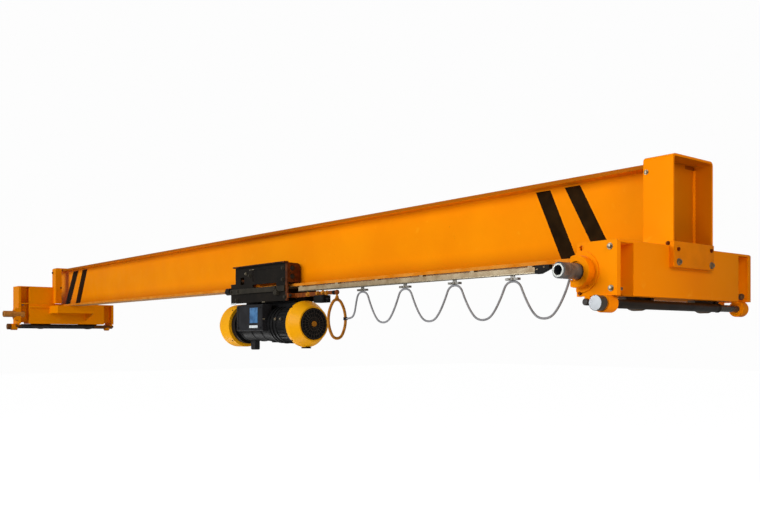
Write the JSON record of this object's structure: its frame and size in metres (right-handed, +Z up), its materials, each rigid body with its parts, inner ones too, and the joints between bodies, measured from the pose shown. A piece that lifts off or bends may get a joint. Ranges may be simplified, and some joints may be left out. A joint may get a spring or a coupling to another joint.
{
  "type": "single girder overhead bridge crane",
  "caption": "Single girder overhead crane: rolled beam on two end carriages, underslung hoist trolley with fan-cooled hoist, and a festoon cable on a rail.",
  "frame": {"origin": "middle of the underside of the near end carriage, level with the side plates' lower edges", "axes": "+X along the girder, out past the near carriage; +Y away from the viewed side; +Z up"},
  "size_m": [7.717, 1.229, 0.85],
  "materials": {
    "yellow_paint": "gloss orange-yellow paint",
    "cap_yellow": "smooth yellow cover",
    "black_paint": "satin black paint",
    "charcoal_paint": "satin charcoal paint",
    "polished_steel": "turned steel",
    "dark_steel": "dark rolled bar",
    "cast_wheel": "dark running wheel",
    "galvanised": "zinc coated steel",
    "dark_plastic": "matt black",
    "black_rubber": "matt rubber",
    "grey_cable": "grey cable sheath"
  },
  "bodies": {
    "crane": {"girder": "yellow_paint", "near_hood": "yellow_paint", "far_hood": "yellow_paint", "near_lip_plate": "yellow_paint", "near_seat_shelf": "yellow_paint", "far_seat_shelf": "yellow_paint", "near_carriage_box": "yellow_paint", "far_carriage_box": "yellow_paint", "near_front_end_plate": "yellow_paint", "far_front_end_plate": "yellow_paint", "near_rear_end_plate": "yellow_paint", "far_rear_end_plate": "yellow_paint", "near_buffer_boss": "yellow_paint", "far_buffer_boss": "yellow_paint", "far_upper_box": "yellow_paint", "far_upper_end_plate": "yellow_paint", "near_buffer_tube": "polished_steel", "far_buffer_tube": "polished_steel", "near_lower_rod": "polished_steel", "far_lower_rod": "polished_steel", "near_inner_rod": "dark_steel", "far_inner_rod": "dark_steel", "near_front_wheel": "cast_wheel", "far_front_wheel": "cast_wheel", "near_rear_wheel": "cast_wheel", "far_rear_wheel": "cast_wheel", "festoon_rail": "galvanised", "rail_stop": "dark_plastic", "anchor_clip": "dark_plastic", "festoon_cable": "grey_cable"},
    "trolley": {"trolley_front_cheek": "black_paint", "trolley_rear_cheek": "black_paint", "trolley_front_bar": "black_paint", "left_hanger": "black_paint", "right_hanger": "black_paint", "trolley_front_bumper": "black_rubber", "trolley_rear_bumper": "black_rubber", "left_front_runner": "cast_wheel", "left_rear_runner": "cast_wheel", "right_front_runner": "cast_wheel", "right_rear_runner": "cast_wheel", "hoist_body": "charcoal_paint", "control_box": "charcoal_paint", "hoist_outlet": "charcoal_paint", "hoist_left_cap": "cap_yellow", "hoist_right_cap": "cap_yellow", "fan_grille": "dark_plastic", "cap_latch": "dark_plastic", "junction_box": "dark_plastic", "hoop_clamp": "dark_plastic", "towing_arm": "yellow_paint", "cable_hoop": "yellow_paint"},
    "carrier_a": {"cable_carrier_a": "galvanised"},
    "carrier_b": {"cable_carrier_b": "galvanised"},
    "carrier_c": {"cable_carrier_c": "galvanised"},
    "carrier_d": {"cable_carrier_d": "galvanised"}
  },
  "joints": [
    {"name": "trolley_travel", "type": "slide", "parent": "crane", "child": "trolley", "axis": [1, 0, 0], "range_m": [-0.6, 0.95], "deforming": ["festoon_cable"]},
    {"name": "carrier_a_travel", "type": "slide", "parent": "crane", "child": "carrier_a", "axis": [1, 0, 0], "range_m": [-0.5692, 0.9012]},
    {"name": "carrier_b_travel", "type": "slide", "parent": "crane", "child": "carrier_b", "axis": [1, 0, 0], "range_m": [-0.4281, 0.6776]},
    {"name": "carrier_c_travel", "type": "slide", "parent": "crane", "child": "carrier_c", "axis": [1, 0, 0], "range_m": [-0.2329, 0.3687]},
    {"name": "carrier_d_travel", "type": "slide", "parent": "crane", "child": "carrier_d", "axis": [1, 0, 0], "range_m": [-0.0613, 0.097]}
  ],
  "couplings": [
    {"joint": "carrier_a_travel", "follows": "trolley_travel", "ratio": 0.9484},
    {"joint": "carrier_b_travel", "follows": "trolley_travel", "ratio": 0.7131},
    {"joint": "carrier_c_travel", "follows": "trolley_travel", "ratio": 0.3879},
    {"joint": "carrier_d_travel", "follows": "trolley_travel", "ratio": 0.1019}
  ]
}
